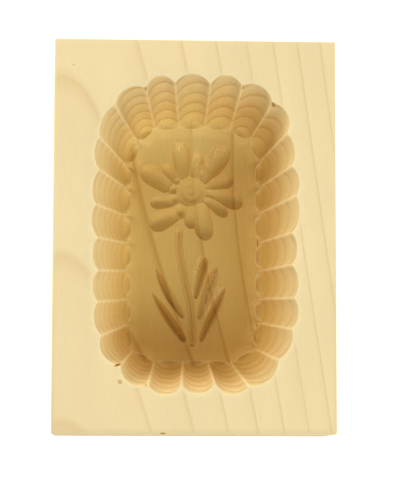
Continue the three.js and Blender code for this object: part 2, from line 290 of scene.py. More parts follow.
class Wiring:
    """Adds nodes to a tree and joins their sockets."""

    def __init__(self, tree):
        self.tree = tree

    def feed(self, node, inputs):
        """Links or sets the inputs of a node, given by name or place."""
        for key, value in inputs.items():
            if isinstance(value, Number):
                self.tree.links.new(value.socket, node.inputs[key])
            else:
                node.inputs[key].default_value = value

    def node(self, kind, inputs=None, **settings):
        node = self.tree.nodes.new(kind)
        for name, value in settings.items():
            setattr(node, name, value)
        self.feed(node, inputs or {})
        return node

    def value(self, kind, inputs=None, output=0, **settings):
        """One output of a new node."""
        return Number(self, self.node(kind, inputs, **settings).outputs[output])

    def values(self, kind, inputs=None, **settings):
        """All outputs of a new node."""
        outputs = self.node(kind, inputs, **settings).outputs
        return [Number(self, socket) for socket in outputs]

    def given(self):
        """The inputs of the node group itself, by name."""
        return {value.socket.name: value for value in self.values("NodeGroupInput")}

    def group(self, tree, inputs):
        """The outputs of a node group, by name."""
        values = self.values("ShaderNodeGroup", inputs, node_tree=tree)
        return {value.socket.name: value for value in values}

    def parts(self, place):
        """The X, Y and Z of a place."""
        return self.values("ShaderNodeSeparateXYZ", {0: place})

    def math(self, operation, *values):
        return self.value("ShaderNodeMath", dict(enumerate(values)), operation=operation)

    def vector(self, operation, *values, output=0):
        inputs = dict(enumerate(values))
        if operation == "SCALE":
            inputs["Scale"] = inputs.pop(1)
        return self.value("ShaderNodeVectorMath", inputs, output, operation=operation)

    def clamp(self, value):
        return self.value("ShaderNodeClamp", {0: value})

    def ramp(self, value, start, length):
        """From 0 where the value is at the start to 1 where it is a length further on."""
        return self.clamp((value - start) / length)

    def blend(self, share, start, end):
        """start where share is 0 and end where it is 1."""
        return start + share * (end - start)

    def mix(self, share, first, second, blend="MIX"):
        """The first colour where share is 0 and the second, mixed into it, where it is 1."""
        inputs = {"Factor": share}
        for socket, colour in ((6, first), (7, second)):
            inputs[socket] = colour if isinstance(colour, Number) else (*colour, 1)
        return self.value("ShaderNodeMix", inputs, 2, data_type="RGBA", blend_type=blend)

    def noise(self, place, scale, detail, along=1):
        """Noise that is drawn out along the grain where along is below 1."""
        drawn = self.vector("MULTIPLY", place, (1, along, 1))
        inputs = {"Vector": drawn, "Scale": scale, "Detail": detail}
        return self.value("ShaderNodeTexNoise", inputs)


def new_material(name):
    """A material with its wiring and its shader."""
    material = bpy.data.materials.new(name)
    material.use_nodes = True
    return material, Wiring(material.node_tree), material.node_tree.nodes["Principled BSDF"]


def node_group(name, kind, inputs, outputs):
    """A node group with its named inputs and outputs, and its wiring."""
    tree = bpy.data.node_groups.new(name, kind)
    for label, socket_kind, default in inputs:
        socket = tree.interface.new_socket(
            label, in_out="INPUT", socket_type="NodeSocket" + socket_kind)
        if default is not None:
            socket.default_value = default
    for label, socket_kind in outputs:
        tree.interface.new_socket(
            label, in_out="OUTPUT", socket_type="NodeSocket" + socket_kind)
    return tree, Wiring(tree)


def share(value):
    """The value, held between 0 and 1."""
    return np.clip(value, 0, 1)


def store(mesh, values_by_name):
    """Stores values on the first points of a mesh, under their names."""
    for name, values in values_by_name.items():
        stored = np.zeros(len(mesh.vertices), np.float32)
        stored[:len(values)] = values
        mesh.attributes.new(name, "FLOAT", "POINT").data.foreach_set("value", stored)


def finished(form, name):
    """The mesh made from a form that is no longer needed."""
    mesh = bpy.data.meshes.new(name)
    form.to_mesh(mesh)
    form.free()
    return mesh


def add_item(name, data):
    item = bpy.data.objects.new(name, data)
    bpy.context.collection.objects.link(item)
    return item


def rim_half_size(shape):
    """Half the width and half the length of the line through the tops of the ridges."""
    return (
        BLOCK_HIGH.x - shape.side_margin - shape.side_swell,
        BLOCK_HIGH.y - shape.end_margin - shape.end_swell,
    )


def floor_half_size(shape):
    width, length = rim_half_size(shape)
    return width - shape.side_wall_run, length - shape.end_wall_run


def even_ridges(shape, half_width, half_length, set_in_x, set_in_y):
    """Even places round an oblong, clockwise from the corner at -X, +Y."""
    corner_x = half_width - set_in_x
    corner_y = half_length - set_in_y
    end_pitch = 2 * corner_x / shape.end_scoops
    side_pitch = 2 * corner_y / shape.side_scoops
    half = [(-corner_x, corner_y)]
    half += [(-corner_x + i * end_pitch, half_length) for i in range(1, shape.end_scoops)]
    half += [(corner_x, corner_y)]
    half += [(half_width, corner_y - i * side_pitch) for i in range(1, shape.side_scoops)]
    return half + [(-x, -y) for x, y in half]


def wandered(places, end):
    moved = []
    for i, (x, y) in enumerate(places):
        wander = RIDGE_WANDER[i % len(RIDGE_WANDER)][end]
        moved.append((x + wander[0] * MM, y + wander[1] * MM))
    return moved


def ridge_tops(shape):
    return wandered(even_ridges(shape, *rim_half_size(shape), *RIM_CORNER), 0)


def ridge_feet(shape):
    return wandered(even_ridges(shape, *floor_half_size(shape), *FLOOR_CORNER), 1)


def swell_of(shape, scoop):
    """A scoop at a corner swells more than one in the middle of a long side."""
    place = scoop % (shape.end_scoops + shape.side_scoops)
    if place in (0, shape.end_scoops - 1, shape.end_scoops):
        return shape.corner_swell
    return shape.end_swell if place < shape.end_scoops else shape.side_swell


def spoon_end_of(shape, scoop):
    """How far a scoop's foot reaches onto the floor past its ridges."""
    place = scoop % (shape.end_scoops + shape.side_scoops)
    return shape.side_spoon_end if place > shape.end_scoops else shape.end_spoon_end


def ridge_mesh(shape):
    """The tops of the ridges and then their feet, with each scoop's own values on its first top."""
    bottom = shape.floor_thickness + shape.dish_rise
    points = [(x, y, BLOCK_HIGH.z) for x, y in ridge_tops(shape)]
    points += [(x, y, bottom) for x, y in ridge_feet(shape)]
    mesh = bpy.data.meshes.new("ridge_ends")
    mesh.from_pydata(points, [], [])
    scoops = range(2 * (shape.side_scoops + shape.end_scoops))
    store(mesh, {
        "swell": [swell_of(shape, i) for i in scoops],
        "pocket": [POCKETS[i % len(POCKETS)] for i in scoops],
        "reach": [spoon_end_of(shape, i) for i in scoops],
    })
    return mesh


SCOOP_INPUTS = (
    ("Ridge Ends", "Geometry", None),
    ("Steps Across", "Int", 18),
    ("Steps Down", "Int", 40),
    ("Lip Steps", "Int", 4),
    ("Roundness", "Float", 2.4),
    ("Ridge Softness", "Float", 0.012),
    ("Spoon Length", "Float", 0.16),
    ("Spoon Bend", "Float", 0.06),
    ("Shallow Slope", "Float", 0.9),
    ("Deep Slope", "Float", 0.45),
    ("Step Crowding", "Float", 1.3),
    ("Lip", "Float", 0.5 * MM),
)

# Keeps a column of the grid that lies on a ridge from being counted with the scoop before it.
SCOOP_NUDGE = 0.0001

# How near to each other two points are one.
WALL_MERGE = 0.002 * MM


def scoop_tree(material):
    """The wall of the recess: a grid bent between neighbouring ridges, once for each scoop."""
    tree, wire = node_group("gouged scoops", "GeometryNodeTree", SCOOP_INPUTS,
                            [("Wall", "Geometry")])
    given = wire.given()
    ends = given["Ridge Ends"]
    points = wire.value("GeometryNodeAttributeDomainSize", {0: ends}, "Point Count",
                        component="MESH")
    ridges = points * 0.5
    rows_down = given["Lip Steps"] + given["Steps Down"] + 1
    columns = ridges * given["Steps Across"] + 1
    grid = wire.value("GeometryNodeMeshGrid", {"Vertices X": columns, "Vertices Y": rows_down})

    index = wire.value("GeometryNodeInputIndex")
    column = wire.math("FLOOR", (index + 0.5) / rows_down)
    row = index - column * rows_down
    along = column / given["Steps Across"] + SCOOP_NUDGE
    whole = wire.math("FLOOR", along)
    even = along - whole - SCOOP_NUDGE
    scoop = wire.math("MODULO", whole, ridges)
    following = wire.math("MODULO", whole + 1, ridges)

    crowded = 0.5 - wire.math("COSINE", even * math.pi) * 0.5
    across = wire.blend(0.5, even, crowded)
    near = wire.math("MINIMUM", across, 1 - across)
    softness = given["Ridge Softness"]

    def softened(value):
        return wire.math("SQRT", value * value + softness * softness) - softness

    from_ridge = wire.clamp(softened(near) / softened(0.5))
    fullness = 1 - (1 - from_ridge) ** given["Roundness"]
    position = wire.value("GeometryNodeInputPosition")

    def sample(value, place, kind="FLOAT_VECTOR"):
        return wire.value("GeometryNodeSampleIndex",
                          {"Geometry": ends, "Value": value, "Index": place},
                          data_type=kind, domain="POINT")

    def scoop_value(name):
        named = wire.value("GeometryNodeInputNamedAttribute", {"Name": name}, "Attribute",
                           data_type="FLOAT")
        return sample(named, scoop, "FLOAT")

    def bowed(first, last, bow):
        """The place across the line between two ridges, bowed outwards, and its outward way."""
        start = sample(position, first)
        line = wire.vector("SUBTRACT", sample(position, last), start)
        outwards = wire.vector("NORMALIZE", wire.vector("CROSS_PRODUCT", (0, 0, 1), line))
        point = wire.vector("ADD", start, wire.vector("SCALE", line, across))
        return wire.vector("ADD", point, wire.vector("SCALE", outwards, bow)), outwards

    top, outwards = bowed(scoop, following, scoop_value("swell") * fullness)
    reach = scoop_value("reach") * fullness * -1
    foot, _ = bowed(scoop + ridges, following + ridges, reach)
    spoon_slope = wire.blend(scoop_value("pocket"), given["Shallow Slope"], given["Deep Slope"])

    def spoon(up):
        """Steep above the spoon's bend and nearly level below it."""
        above = up - given["Spoon Length"]
        bend = given["Spoon Bend"] * given["Spoon Bend"]
        return wire.math("SQRT", above * above + bend) + above * spoon_slope

    turn = wire.clamp(row / given["Lip Steps"]) * (math.pi / 2)
    lip_out = given["Lip"] * (1 - wire.math("SINE", turn))
    lip_drop = given["Lip"] * (1 - wire.math("COSINE", turn))
    even_down = wire.clamp((row - given["Lip Steps"]) / given["Steps Down"])
    still_up = (1 - even_down) ** given["Step Crowding"]
    spoon_foot = spoon(0)
    scoop_height = (spoon(still_up) - spoon_foot) / (spoon(1) - spoon_foot)
    dropped = 1 - wire.blend(fullness, still_up, scoop_height)

    top_x, top_y, top_z = wire.parts(top)
    foot_x, foot_y, foot_z = wire.parts(foot)
    height = top_z - lip_drop - (top_z - foot_z - given["Lip"]) * dropped
    flat_x = wire.blend(still_up, foot_x, top_x)
    flat_y = wire.blend(still_up, foot_y, top_y)
    place = wire.value("ShaderNodeCombineXYZ", {"X": flat_x, "Y": flat_y, "Z": height})
    place = wire.vector("ADD", place, wire.vector("SCALE", outwards, lip_out))

    bent = wire.value("GeometryNodeSetPosition", {"Geometry": grid, "Position": place})
    closed = wire.value("GeometryNodeMergeByDistance",
                        {"Geometry": bent, "Distance": WALL_MERGE})
    real = wire.value("GeometryNodeRealizeInstances", {"Geometry": closed})
    wall = wire.value("GeometryNodeSetMaterial", {"Geometry": real, "Material": material})
    wire.node("NodeGroupOutput", {"Wall": wall})
    return tree


def set_modifier_input(modifier, name, value):
    for item in modifier.node_group.interface.items_tree:
        if item.item_type == "SOCKET" and item.in_out == "INPUT" and item.name == name:
            modifier[item.identifier] = value
            return
    raise KeyError(name)


def scoop_wall(shape, material):
    """The evaluated wall of the recess as a plain mesh."""
    holder = add_item("ridge_ends", ridge_mesh(shape))
    modifier = holder.modifiers.new("scoops", "NODES")
    modifier.node_group = scoop_tree(material)
    set_modifier_input(modifier, "Lip", shape.lip)
    depsgraph = bpy.context.evaluated_depsgraph_get()
    mesh = bpy.data.meshes.new_from_object(holder.evaluated_get(depsgraph))
    holder.modifiers.remove(modifier)
    bpy.data.objects.remove(holder)
    return mesh


def border_loops(mesh):
    """The open edges of a mesh as closed loops of points."""
    form = bmesh.new()
    form.from_mesh(mesh)
    following = {}
    for edge in form.edges:
        if edge.is_boundary:
            first, last = edge.link_loops[0].vert, edge.link_loops[0].link_loop_next.vert
            following[first.index] = last.index
    places = {vert.index: vert.co.copy() for vert in form.verts}
    form.free()
    loops = []
    while following:
        start, here = following.popitem()
        loop = [places[start]]
        while here != start:
            loop.append(places[here])
            here = following.pop(here)
        loops.append(loop)
    return loops


def flat_loop(loop):
    return np.array([point[:2] for point in loop])


def inside_loop(points, loop):
    """Which flat points lie inside a closed loop."""
    x, y = points[:, 0], points[:, 1]
    inside = np.zeros(len(points), bool)
    for (ax, ay), (bx, by) in zip(loop, np.roll(loop, -1, axis=0)):
        crosses = (ay > y) != (by > y)
        level = np.where(crosses, (y - ay) / ((by - ay) if by != ay else 1), 0)
        inside ^= crosses & (x < ax + level * (bx - ax))
    return inside


def distance_to_line(points, line):
    """The distance from flat points to an open line, and how far along it is the nearest place."""
    nearest = np.full(len(points), np.inf)
    along = np.zeros(len(points))
    for i, (start, end) in enumerate(zip(line[:-1], line[1:])):
        step = end - start
        done = share((points - start) @ step / max(step @ step, 1e-18))
        gap = np.linalg.norm(points - start - done[:, None] * step, axis=1)
        along = np.where(gap < nearest, (i + done) / (len(line) - 1), along)
        nearest = np.minimum(nearest, gap)
    return nearest, along


def distance_to_loop(points, loop):
    """The distance from each flat point to a closed loop."""
    return distance_to_line(points, np.concatenate([loop, loop[:1]]))[0]


def fill(points, loops):
    """Triangles over flat points that keep the closed loops, given as runs of points, as edges."""
    flat = [Vector(p) for p in points]
    edges = []
    for loop in loops:
        first = len(flat)
        flat += [Vector(p) for p in loop]
        edges += [(first + i, first + (i + 1) % len(loop)) for i in range(len(loop))]
    places, _, faces, _, _, _ = geometry.delaunay_2d_cdt(flat, edges, [], 0, 1e-7)
    return np.array([tuple(p) for p in places]), np.array(faces)


def hex_grid(low, high, pitch):
    """Evenly spread points in a box, in offset rows."""
    rows = []
    step = pitch * math.sqrt(3) / 2
    for i, y in enumerate(np.arange(low[1], high[1], step)):
        xs = np.arange(low[0] + (i % 2) * pitch / 2, high[0], pitch)
        rows.append(np.column_stack([xs, np.full(len(xs), y)]))
    return np.concatenate(rows)


def lattice_noise(places, size, seed):
    """Smooth noise from -1 to 1 with bumps of about the given size."""
    values = np.random.default_rng(seed).uniform(-1, 1, (64, 64))
    u, v = (places / size).T
    i, j = np.floor(u).astype(int), np.floor(v).astype(int)
    s, t = u - i, v - j
    s, t = s * s * (3 - 2 * s), t * t * (3 - 2 * t)

    def row(level):
        return values[i % 64, level % 64] * (1 - s) + values[(i + 1) % 64, level % 64] * s

    return row(j) * (1 - t) + row(j + 1) * t


def petal_profile(petal, along):
    """Half the width of a petal as a share, from its blunt start to its round tip."""
    widest = 0.66
    round_start = np.sqrt(share(1 - (1 - share(along / 0.1)) ** 2))
    grown = np.sin(np.pi / 2 * share(along / widest)) ** 0.9
    inner = round_start * (petal["base"] + (1 - petal["base"]) * grown)
    outer = np.sqrt(share(1 - ((along - widest) / (1 - widest)) ** 2))
    return np.where(along < widest, inner, outer)


def leaf_profile(leaf, along):
    """Half the width of a leaf as a share, from its round foot to its tip."""
    round_foot = np.sqrt(share(1 - (1 - share(along / 0.06)) ** 2))
    grown = share(along / leaf["widest"])
    body = leaf["foot_share"] + (1 - leaf["foot_share"]) * grown * (2 - grown)
    past = share((along - leaf["widest"]) / (1 - leaf["widest"]))
    return round_foot * body * (1 - past**2) ** leaf["tip_shape"]


def cut_frame(cut):
    """Where a cut starts, its length and the angle it runs at."""
    start = np.array(cut["start"], float)
    line = np.array(cut["tip"], float) - start
    return start, np.linalg.norm(line), math.atan2(line[1], line[0])


def bow_of(cut, along):
    """How far the middle line of a cut bends to the left."""
    return cut["bend"] * 4 * along * (1 - along)


def turned(places, angle):
    u, v = places.T
    x = u * math.cos(angle) - v * math.sin(angle)
    y = u * math.sin(angle) + v * math.cos(angle)
    return np.column_stack([x, y])


def cut_outline(cut, profile, centre):
    """The closed outline of a bent cut, in metres."""
    start, length, angle = cut_frame(cut)
    steps = 0.5 - 0.5 * np.cos(np.linspace(0, np.pi, 28))
    half = profile(cut, steps) * cut["width"] / 2
    left = np.column_stack([steps * length, bow_of(cut, steps) + half])
    right = np.column_stack([steps * length, bow_of(cut, steps) - half])[-2:0:-1]
    return (turned(np.concatenate([left, right]), angle) + start) * MM + centre


def within_cut(cut, profile, local):
    """How far places lie along and across a cut, and its width there as a share.

    The places are in mm from the flower's middle. Across the cut they go from -1 to 1.
    """
    start, length, angle = cut_frame(cut)
    places = turned(local - start, -angle)
    along = places[:, 0] / length
    width = profile(cut, share(along))
    half = np.maximum(width * cut["width"] / 2, 1e-6)
    return along, (places[:, 1] - bow_of(cut, along)) / half, width


def petal_depth(petal, local):
    """How deep a petal is cut: a round groove that sinks from its start."""
    along, across, width = within_cut(petal, petal_profile, local)
    section = (1 - share(np.abs(across)) ** 2) ** 0.62
    sinking = 0.4 + 0.6 * np.sin(np.pi / 2 * share(along / 0.6))
    depth = petal["depth"] * width**0.7 * section * sinking
    return np.where((along > 0) & (along < 1), depth, 0)


def leaf_depth(leaf, local):
    """How deep a leaf is cut: two slopes that meet in a crease."""
    along, across, width = within_cut(leaf, leaf_profile, local)
    inside = (along > 0) & (along < 1) & (np.abs(across) < 1)
    crease = leaf["crease"]
    side = np.where(-across < crease, (1 - across) / (crease + 1), (1 + across) / (1 - crease))
    section = share(side) ** leaf["section"]
    return np.where(inside, leaf["depth"] * width**0.8 * section, 0)


def leaf_crease(leaf, centre):
    """The line along the bottom of a leaf's two slopes, in metres."""
    start, length, angle = cut_frame(leaf)
    steps = np.linspace(0.04, 0.96, 30)
    aside = leaf["crease"] * leaf_profile(leaf, steps) * leaf["width"] / 2
    line = np.column_stack([steps * length, bow_of(leaf, steps) - aside])
    return (turned(line, angle) + start) * MM + centre


def smooth_line(points, count):
    """Points along a smooth curve through a few given ones."""
    given = np.array(points, float)
    padded = np.concatenate([[2 * given[0] - given[1]], given, [2 * given[-1] - given[-2]]])
    result = []
    for step in np.linspace(0, len(given) - 1 - 1e-9, count):
        i = int(step)
        t = step - i
        a, b, c, d = padded[i:i + 4]
        curve = 2 * b + (c - a) * t + (2 * a - 5 * b + 4 * c - d) * t**2
        result.append((curve + (3 * b - a - 3 * c + d) * t**3) / 2)
    return np.array(result)


# The size of the splinters on torn grain, across and along it, and the height and length of
# the ripples in the flower's middle, in mm.
SPLINTER = (0.4, 0.6)
RIPPLE_HEIGHT = 0.15
RIPPLE_LENGTH = 3.3


def torn_relief(shape, local):
    """How torn the grain is, from 0 to 1, and its roughness in mm, from the flower's middle."""
    torn = np.zeros(len(local))
    relief = np.zeros(len(local))
    for i, row in enumerate(TORN_GRAIN):
        gap, _ = distance_to_line(local, np.array(row["line"], float))
        here = share(1.3 - gap / row["reach"])
        fibres = lattice_noise(local, row["fibre"], shape.seed + i)
        splinters = lattice_noise(local, SPLINTER, shape.seed + 20 + i)
        relief += here * row["rough"] * (fibres + 0.3 * splinters)
        torn = np.maximum(torn, here * min(row["rough"] / 0.2, 1))
    return torn, relief


def dip_depth(dip, local):
    gap = np.linalg.norm(local - dip["place"], axis=1) / dip["radius"]
    return dip["depth"] * share(1 - gap**2) ** 2


def from_stem(local):
    """The distance to the stem's line and how far along it the nearest place is."""
    return distance_to_line(local, smooth_line(STEM, 60))


def stem_groove(shape, local):
    """How deep the stem is cut: a flat groove with a narrow deeper middle."""
    gap, along = from_stem(local)
    across = share(gap / (shape.stem_width / MM / 2))
    profile = 0.5 * (1 - across**6) + 0.5 * share(1 - across / 0.6)
    return shape.stem_depth / MM * profile * share(along * 25)


def with_flower_middle(shape, local, level, cut):
    """The cut floor with the round bowl of the flower's middle, eased into the petals."""
    radius = shape.flower_middle / MM
    gap = np.linalg.norm(local, axis=1) / radius
    ripple = RIPPLE_HEIGHT * np.cos(gap * radius * 2 * np.pi / RIPPLE_LENGTH)
    ripple *= share(5 - 5 * gap)
    bowl = level - shape.bowl_depth / MM * (1 - 0.85 * gap**2) - ripple
    eased = share((gap - 0.82) / 0.18) ** 2
    return np.where(gap < 1, bowl + eased * (np.minimum(cut, bowl) - bowl), cut)


def floor_heights(shape, flat, foot_loop):
    """The height of the carved floor at flat places inside its edge."""
    local = (flat - flower_centre(shape)) / MM
    dish = share(1 - distance_to_loop(flat, foot_loop) / shape.dish_width)
    height = shape.floor_thickness + shape.dish_rise * dish**2
    level = shape.floor_thickness / MM
    depths = [petal_depth(petal, local) for petal in PETALS]
    depths += [dip_depth(dip, local) for dip in BASE_DIPS]
    depths += [leaf_depth(leaf, local) for leaf in LEAVES]
    depth = np.max([*depths, stem_groove(shape, local)], axis=0)
    cut = np.where(depth > 0, level - depth, np.inf)
    cut = with_flower_middle(shape, local, level, cut)
    _, relief = torn_relief(shape, local)
    return np.minimum(height, cut * MM) + relief * MM


def flower_centre(shape):
    return np.array([0.0, floor_half_size(shape)[1] - shape.flower_from_end])


def circle(radius, count, centre):
    angles = np.linspace(0, 2 * np.pi, count, endpoint=False)
    return np.column_stack([np.cos(angles), np.sin(angles)]) * radius + centre


# How far the flower reaches from its middle, and the pitch of the points on the plain floor,
# in the flower, on torn grain, in the leaves and on the flat face.
FLOWER_REACH = 25 * MM
FLOOR_PITCH = 0.62 * MM
FLOWER_PITCH = 0.33 * MM
TORN_PITCH = 0.22 * MM
LEAF_PITCH = 0.3 * MM
FACE_PITCH = 2.5 * MM

# How far points keep from the edges of the floor and of the flat face.
FLOOR_CLEAR = 0.12 * MM
FACE_CLEAR = 0.8 * MM

# How near to each other two points of the block are one.
JOIN_GAP = 0.004 * MM

# How far an edge turns outwards, in degrees, before it gets a painted highlight, over how many
# more degrees the highlight comes to full, and past how many it is shaded as a sharp edge.
LIGHT_FROM = 6
LIGHT_OVER = 20
SHARP_FROM = 32

# How far from the line of a ridge its painted highlight reaches.
RIDGE_LIGHT = 0.65 * MM


def cut_loops(shape, centre):
    """The outlines of all that is cut into the floor."""
    loops = [cut_outline(petal, petal_profile, centre) for petal in PETALS]
    for dip in BASE_DIPS:
        middle = centre + np.array(dip["place"]) * MM
        loops.append(circle(dip["radius"] * MM, 20, middle))
    loops.append(circle(shape.flower_middle, 64, centre))
    return loops + [cut_outline(leaf, leaf_profile, centre) for leaf in LEAVES]


def floor_points(shape, foot, centre):
    """Points over the floor, closer together where it is carved finely."""
    low, high = foot.min(0), foot.max(0)
    plain = hex_grid(low, high, FLOOR_PITCH)
    plain = plain[np.linalg.norm(plain - centre, axis=1) >= FLOWER_REACH]
    flower = hex_grid(centre - FLOWER_REACH, centre + FLOWER_REACH, FLOWER_PITCH)
    flower = flower[np.linalg.norm(flower - centre, axis=1) < FLOWER_REACH]
    torn = hex_grid(low, high, TORN_PITCH)
    torn = torn[torn_relief(shape, (torn - centre) / MM)[0] > 0.3]
    stem = smooth_line(STEM, 120) * MM + centre
    creases = [leaf_crease(leaf, centre) for leaf in LEAVES]
    leafy = hex_grid(low, high, LEAF_PITCH)
    in_cut = distance_to_line(leafy, stem[::6])[0] < shape.stem_width * 0.6
    for leaf in LEAVES:
        in_cut |= leaf_depth(leaf, (leafy - centre) / MM) > 0
    points = np.concatenate([plain, flower, torn, leafy[in_cut], stem, *creases])
    points = points[inside_loop(points, foot)]
    return points[distance_to_loop(points, foot) > FLOOR_CLEAR]


def flat_mesh(name, flat, heights, faces):
    mesh = bpy.data.meshes.new(name)
    mesh.from_pydata(np.column_stack([flat, heights]).tolist(), [], faces.tolist())
    return mesh


def carved_floor(shape, foot_loop):
    """The dished floor with its flower, filled inside the foot of the wall."""
    foot = flat_loop(foot_loop)
    centre = flower_centre(shape)
    flat, faces = fill(floor_points(shape, foot, centre), [foot, *cut_loops(shape, centre)])
    faces = faces[inside_loop(flat[faces].mean(axis=1), foot)]
    heights = floor_heights(shape, flat, foot)
    heights[distance_to_loop(flat, foot) < JOIN_GAP] = foot_loop[0].z
    return flat_mesh("carved_floor", flat, heights, faces)


def outer_block(shape):
    """The five plain sides of the block with its eased edges, open at the carved face."""
    form = bmesh.new()
    bmesh.ops.create_cube(form, size=1)
    size = BLOCK_HIGH - BLOCK_LOW
    middle = (BLOCK_HIGH + BLOCK_LOW) / 2
    form.transform(Matrix.Translation(middle) @ Matrix.Diagonal((*size, 1)))
    bmesh.ops.bevel(form, geom=form.edges[:], offset=shape.arris_bevel, segments=3,
                    profile=0.5, affect="EDGES")
    top = [face for face in form.faces if face.normal.z > 0.999]
    bmesh.ops.delete(form, geom=top, context="FACES_ONLY")
    return finished(form, "outer_block")


def carved_face(rim_loop, outer_loop):
    """The flat face between the block's edges and the rim of the recess."""
    rim, outer = flat_loop(rim_loop), flat_loop(outer_loop)

    def between(points):
        return inside_loop(points, outer) & ~inside_loop(points, rim)

    points = hex_grid(outer.min(0), outer.max(0), FACE_PITCH)
    points = points[between(points)]
    for loop in (rim, outer):
        points = points[distance_to_loop(points, loop) > FACE_CLEAR]
    flat, faces = fill(points, [rim, outer])
    faces = faces[between(flat[faces].mean(axis=1))]
    return flat_mesh("carved_face", flat, np.full(len(flat), BLOCK_HIGH.z), faces)


def join_meshes(name, parts):
    form = bmesh.new()
    for part in parts:
        form.from_mesh(part)
    bmesh.ops.remove_doubles(form, verts=form.verts[:], dist=JOIN_GAP)
    bmesh.ops.dissolve_degenerate(form, edges=form.edges[:], dist=0.001 * MM)
    bmesh.ops.recalc_face_normals(form, faces=form.faces[:])
    mesh = finished(form, name)
    for part in parts:
        bpy.data.meshes.remove(part)
    mesh.polygons.foreach_set("use_smooth", [True] * len(mesh.polygons))
    mesh.set_sharp_from_angle(angle=math.radians(SHARP_FROM))
    return mesh


def outward_edge_highlight(mesh):
    """How sharply the surface turns outwards at each point, from 0 to 1, for its painted highlight.
    """
    form = bmesh.new()
    form.from_mesh(mesh)
    values = np.zeros(len(form.verts))
    for edge in form.edges:
        sharp = (math.degrees(edge.calc_face_angle_signed(0)) - LIGHT_FROM) / LIGHT_OVER
        for vert in edge.verts:
            values[vert.index] = max(values[vert.index], min(sharp, 1))
    form.free()
    return values


def ridge_highlight(shape, places):
    """How near each point is to the line of a ridge, from 0 to 1, for its painted highlight."""
    nearest = np.full(len(places), np.inf)
    for top, foot in zip(ridge_tops(shape), ridge_feet(shape)):
        gap, _ = distance_to_line(places[:, :2], np.array([top, foot]))
        nearest = np.minimum(nearest, gap)
    return share(1.15 - nearest / RIDGE_LIGHT)


def painted_cut_shade(local):
    """Painted shade in the bottoms of the leaves and the stem's middle and edges, from 0 to 1."""
    stain = np.zeros(len(local))
    for leaf in LEAVES:
        stain = np.maximum(stain, leaf_depth(leaf, local) / leaf["depth"])
    gap, _ = from_stem(local)
    stain = np.maximum(stain, 0.75 * share(1 - gap / 0.8))
    return np.maximum(stain, 0.35 * share(1 - np.abs(gap - 1.45) / 0.6))


def mark_surfaces(shape, mesh):
    """Stores whether each point is carved or torn, and its painted shade and painted highlight."""
    places = np.zeros(len(mesh.vertices) * 3, np.float32)
    mesh.vertices.foreach_get("co", places)
    places = places.reshape(-1, 3).astype(float)
    x, y, z = places.T
    half_width, half_length = rim_half_size(shape)
    in_recess = (np.abs(x) < half_width + 5 * MM) & (np.abs(y) < half_length + 6 * MM)
    carved = in_recess & (z > BLOCK_LOW.z + MM) & (z < BLOCK_HIGH.z - 0.05 * MM)
    on_floor = carved & (z < shape.floor_thickness + shape.dish_rise)
    on_wall = carved & (z > shape.floor_thickness + 0.8 * shape.dish_rise)
    local = (places[:, :2] - flower_centre(shape)) / MM
    # Painted highlight on the ridges, outward edges and rim, fainter on the floor.
    ridge = np.where(on_wall, ridge_highlight(shape, places), 0)
    arris = np.maximum(outward_edge_highlight(mesh), ridge)
    arris *= np.where(z < shape.floor_thickness + 0.3 * MM, 0.25, 1)
    at_rim = in_recess & (arris > 0.1) & (z > BLOCK_HIGH.z - 0.5 * shape.lip)
    store(mesh, {
        "carved": carved,
        "torn": np.where(on_floor, torn_relief(shape, local)[0], 0),
        # Painted shade in the bottoms of the leaves and the stem.
        "stain": np.where(on_floor, painted_cut_shade(local), 0),
        "arris": np.where(at_rim, 1, arris),
    })


# The growth rings run round the tree's pith, which lay in front of the carved face and
# leans away from it. Towards the block's -X edge the rings turn back a little.
PITH = {
    "x": -71.6 * MM,
    "lean_x": -0.0235,
    "above_face": 186.1 * MM,
    "lean_z": 0.0804,
    "bow_z": -0.076,
    "flattening": 1.025,
    "first_ring": 187.2 * MM,
    "growth": 0.0099,
    "turn_from_x": -36 * MM,
    "turn_back": 3.0,
}

# Over how deep the cut wood changes from the rim's colour to the floor's.
COLOUR_DEPTH = 28 * MM

# Where each change along the block starts and over how long. Ring lines are faint past the
# flower's lower end and between its sides, counted inwards. Painted shade darkens the deep cut
# wood towards +X and towards -Y, counted that way, and painted light pales it towards +Y.
FLOWER_END = (2 * MM, 12 * MM)
FLOWER_SIDE = (-13 * MM, 4 * MM)
PAINTED_SHADE_SIDE = (2 * MM, 26 * MM)
PAINTED_SHADE_END = (22 * MM, 20 * MM)
PAINTED_LIGHT_END = (31 * MM, 11 * MM)

# Half the height over which a mark shows, in mm.
MARK_HALF_HEIGHT = 3

# Rings meet the floor and its shallow cuts along the same lines: carved places below the
# reach take the ring of the floor, and all other places are spread to match.
RING_FLOOR = 13.3 * MM
RING_FLOOR_REACH = 15.6 * MM

# How the rings drift from even circles towards the floor, in rings, and for each metre along
# X and Y, their product and the square of Y.
RING_DRIFT = {"everywhere": -0.105, "x": -9.8, "y": -5.94, "x_y": -108.7, "y_y": -101.2}

RING_INPUTS = (
    ("Place", "Vector", None),
    ("Spacing", "Float", 5.82 * MM),
    ("Wobble", "Float", 0.04 * MM),
    ("Softness", "Float", 0),
    ("Carved", "Float", 0),
)


